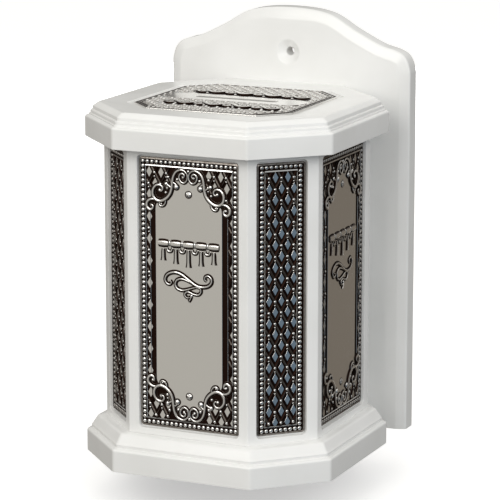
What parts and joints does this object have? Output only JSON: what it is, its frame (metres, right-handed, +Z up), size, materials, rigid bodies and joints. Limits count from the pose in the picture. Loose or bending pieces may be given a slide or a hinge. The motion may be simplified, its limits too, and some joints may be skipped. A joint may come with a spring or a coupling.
{
  "type": "wall-hung charity box",
  "caption": "Eight-sided wooden charity box with a coin slot in its moulded lid, relief metal plaques on its faces, an arched hanging board and a pull-out stopper in the base.",
  "frame": {"origin": "underside of the base and board, on the plane of symmetry, at half of the overall depth", "axes": "+Z up, +Y to the back (the face that lies on the wall), +X to the right seen from the front"},
  "size_m": [0.151, 0.1576, 0.2446],
  "materials": {
    "white_paint": "satin white lacquer over fibreboard",
    "silver_relief": "silver-plated relief, polished high parts, blackened recesses",
    "nail_metal": "bright domed nail",
    "zinc_screw": "zinc-plated",
    "beech": "bare beech",
    "white_rubber": "soft moulded plastic"
  },
  "bodies": {
    "case": {"back_board": "white_paint", "base": "white_paint", "base_dowels": "beech", "board_screws": "zinc_screw", "lid": "white_paint", "lid_dowels": "beech", "nails_front": "nail_metal", "nails_left": "nail_metal", "nails_right": "nail_metal", "plaque_front": "silver_relief", "plaque_front_left": "silver_relief", "plaque_front_right": "silver_relief", "plaque_left": "silver_relief", "plaque_right": "silver_relief", "plaque_top": "silver_relief", "wall_front": "white_paint", "wall_front_left": "white_paint", "wall_front_right": "white_paint", "wall_left": "white_paint", "wall_rear_left": "white_paint", "wall_rear_right": "white_paint", "wall_right": "white_paint"},
    "stopper": {"stopper": "white_rubber"}
  },
  "joints": [
    {"name": "stopper_pull", "type": "slide", "parent": "case", "child": "stopper", "axis": [0, 0, -1], "range_m": [0, 0.022]}
  ]
}
